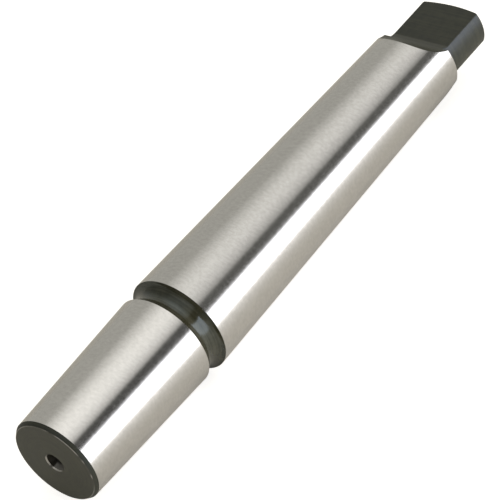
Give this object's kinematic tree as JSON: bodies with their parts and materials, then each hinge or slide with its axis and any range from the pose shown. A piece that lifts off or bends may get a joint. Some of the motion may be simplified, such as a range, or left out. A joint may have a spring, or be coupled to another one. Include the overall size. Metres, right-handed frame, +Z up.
{
  "type": "drill chuck arbor",
  "caption": "Solid steel drill chuck arbor: ground taper shank with a blackened drive tang, a blackened relief groove and a short ground taper that carries a drill chuck.",
  "frame": {"origin": "on the axis, at the gauge plane of the shank taper, where its diameter is 17.780 mm", "axes": "+X along the axis towards the tang, +Z up and square to the tang's upper flat, so the arbor lies on its side"},
  "size_m": [0.1107, 0.018, 0.018],
  "materials": {
    "arbor_steel": "fine ground on the two tapers, black oxide on the tang, the groove and the end faces"
  },
  "bodies": {
    "root": {"arbor": "arbor_steel"}
  },
  "joints": []
}
